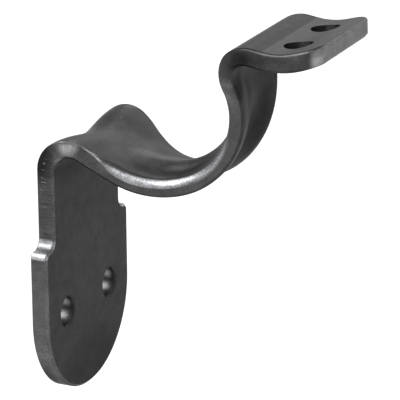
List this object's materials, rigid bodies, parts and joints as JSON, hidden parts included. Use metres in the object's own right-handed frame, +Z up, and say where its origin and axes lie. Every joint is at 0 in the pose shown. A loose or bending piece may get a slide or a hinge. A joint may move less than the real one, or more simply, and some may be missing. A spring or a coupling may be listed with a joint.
{
  "type": "handrail bracket",
  "caption": "Pressed steel wall bracket: flat plate with a half-round end, sloping neck, finger loop and a curved seat that carries a handrail.",
  "frame": {"origin": "on the back of the wall plate, midway between its two screw holes", "axes": "+X out of the wall, +Y along the rail, +Z up"},
  "size_m": [0.0824, 0.05, 0.111],
  "materials": {
    "steel": "dark self-coloured steel, semi-gloss, with brighter worn edges"
  },
  "bodies": {
    "root": {"bracket": "steel"}
  },
  "joints": []
}
